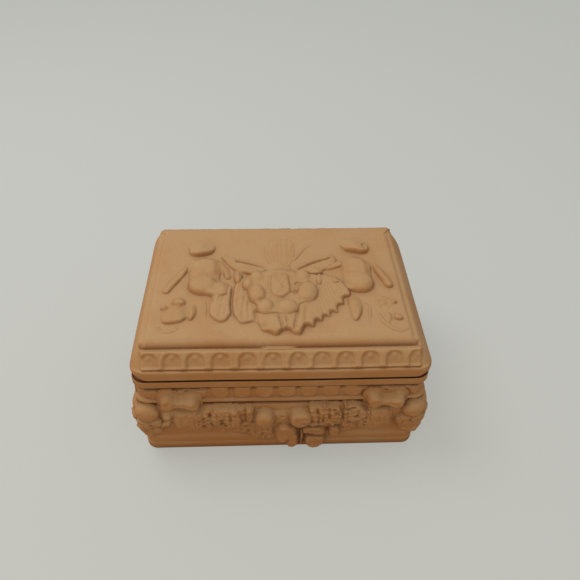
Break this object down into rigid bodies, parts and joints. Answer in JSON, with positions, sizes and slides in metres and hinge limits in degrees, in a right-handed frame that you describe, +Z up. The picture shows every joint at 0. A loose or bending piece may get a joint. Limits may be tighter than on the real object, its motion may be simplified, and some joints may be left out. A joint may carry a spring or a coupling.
{
  "type": "keepsake box",
  "caption": "Rectangular keepsake box in unglazed terracotta with a lift-off lid, carrying relief cherubs, fruit garlands, bows and arched borders.",
  "frame": {"origin": "middle of the foot, on the surface the box stands on", "axes": "+X to the right seen from the front, +Y towards the back, +Z up"},
  "size_m": [0.1644, 0.1244, 0.0854],
  "materials": {
    "clay_box": "unglazed fired clay, matt, faintly gritty",
    "clay_lid": "unglazed fired clay, matt, faintly gritty",
    "clay_border": "unglazed fired clay, pressed pattern",
    "clay_relief": "unglazed fired clay, press-moulded relief, softly worn"
  },
  "bodies": {
    "box": {"box_shell": "clay_box", "box_border_front": "clay_border", "box_border_right": "clay_border", "box_border_back": "clay_border", "box_border_left": "clay_border", "bow_front_left": "clay_relief", "bow_front_right": "clay_relief", "bow_back_left": "clay_relief", "bow_back_right": "clay_relief", "garland_front": "clay_relief", "garland_right": "clay_relief", "garland_back": "clay_relief", "garland_left": "clay_relief", "corner_fruit_front_left": "clay_relief", "corner_fruit_front_right": "clay_relief", "corner_fruit_back_right": "clay_relief", "corner_fruit_back_left": "clay_relief"},
    "lid": {"lid_shell": "clay_lid", "lid_border_front": "clay_border", "lid_border_back": "clay_border", "lid_fruit_mound": "clay_relief", "lid_cherub_left": "clay_relief", "lid_cherub_right": "clay_relief", "lid_horn_left": "clay_relief", "lid_horn_right": "clay_relief", "lid_leaf_collar": "clay_relief", "lid_palm_fan": "clay_relief", "lid_spray_left": "clay_relief", "lid_spray_right": "clay_relief"}
  },
  "joints": [
    {"name": "lid_lift", "type": "slide", "parent": "box", "child": "lid", "axis": [0, 0, 1], "range_m": [0, 0.06]}
  ]
}
